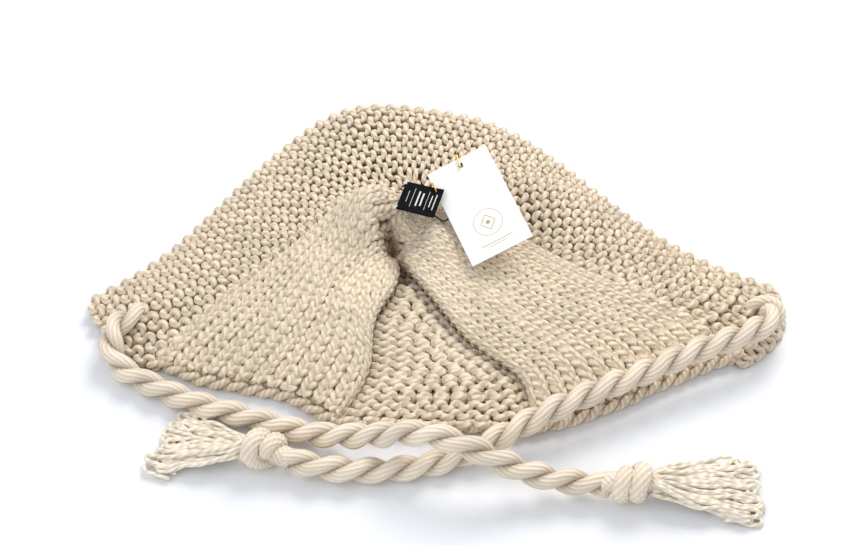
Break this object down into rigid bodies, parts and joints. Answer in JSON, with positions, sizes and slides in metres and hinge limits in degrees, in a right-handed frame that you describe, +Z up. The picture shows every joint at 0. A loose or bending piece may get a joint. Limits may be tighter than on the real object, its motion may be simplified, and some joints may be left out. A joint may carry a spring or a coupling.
{
  "type": "knit bonnet hat",
  "caption": "Chunky knitted bonnet hat with garter face band, nape gusset and two twisted tie cords ending in knots and tassels, laid opening-down, with a label and hang tag.",
  "frame": {"origin": "on the surface that the hat lies on, under the middle of the hat without its cords", "axes": "+Z up; +X along the hat from the left flap to the right flap; +Y from the nape hem to the face edge"},
  "size_m": [0.4918, 0.3831, 0.0755],
  "materials": {
    "knit_yarn": "matt bulky wool, warm beige",
    "cord_yarn": "matt plied wool, light cream beige",
    "tassel_yarn": "loose plied wool ends, cream",
    "white_thread": "white sewing thread",
    "black_satin": "black woven satin with plain white bars",
    "brass": "bright brass wire",
    "black_thread": "black round string",
    "white_card": "smooth white card"
  },
  "bodies": {
    "root": {"face_band": "knit_yarn", "left_side_panel": "knit_yarn", "right_side_panel": "knit_yarn", "nape_gusset": "knit_yarn", "hem_edging": "knit_yarn", "left_tie_cord": "cord_yarn", "right_tie_cord": "cord_yarn", "left_knot": "cord_yarn", "right_knot": "cord_yarn", "left_tassel": "tassel_yarn", "right_tassel": "tassel_yarn", "label_stitches": "white_thread"},
    "label": {"woven_label": "black_satin"},
    "pin": {"tag_pin": "brass", "pin_clasp": "brass", "tag_string": "black_thread"},
    "tag": {"hang_tag": "white_card"}
  },
  "joints": [
    {"name": "label_fold", "type": "hinge", "parent": "root", "child": "label", "pos_m": [-0.02338, 0.0086, 0.0624], "axis": [-0.264, -0.9645, 0.0098], "range_deg": [0, 60]},
    {"name": "pin_swivel", "type": "hinge", "parent": "label", "child": "pin", "pos_m": [0.00147, 0.01241, 0.06108], "axis": [0.037, 0, 0.9993], "range_deg": [-5, 5]},
    {"name": "tag_swing", "type": "hinge", "parent": "pin", "child": "tag", "pos_m": [0.0192, 0.0345, 0.0665], "axis": [-0.2529, -0.2779, 0.9267], "range_deg": [-5, 8]}
  ]
}
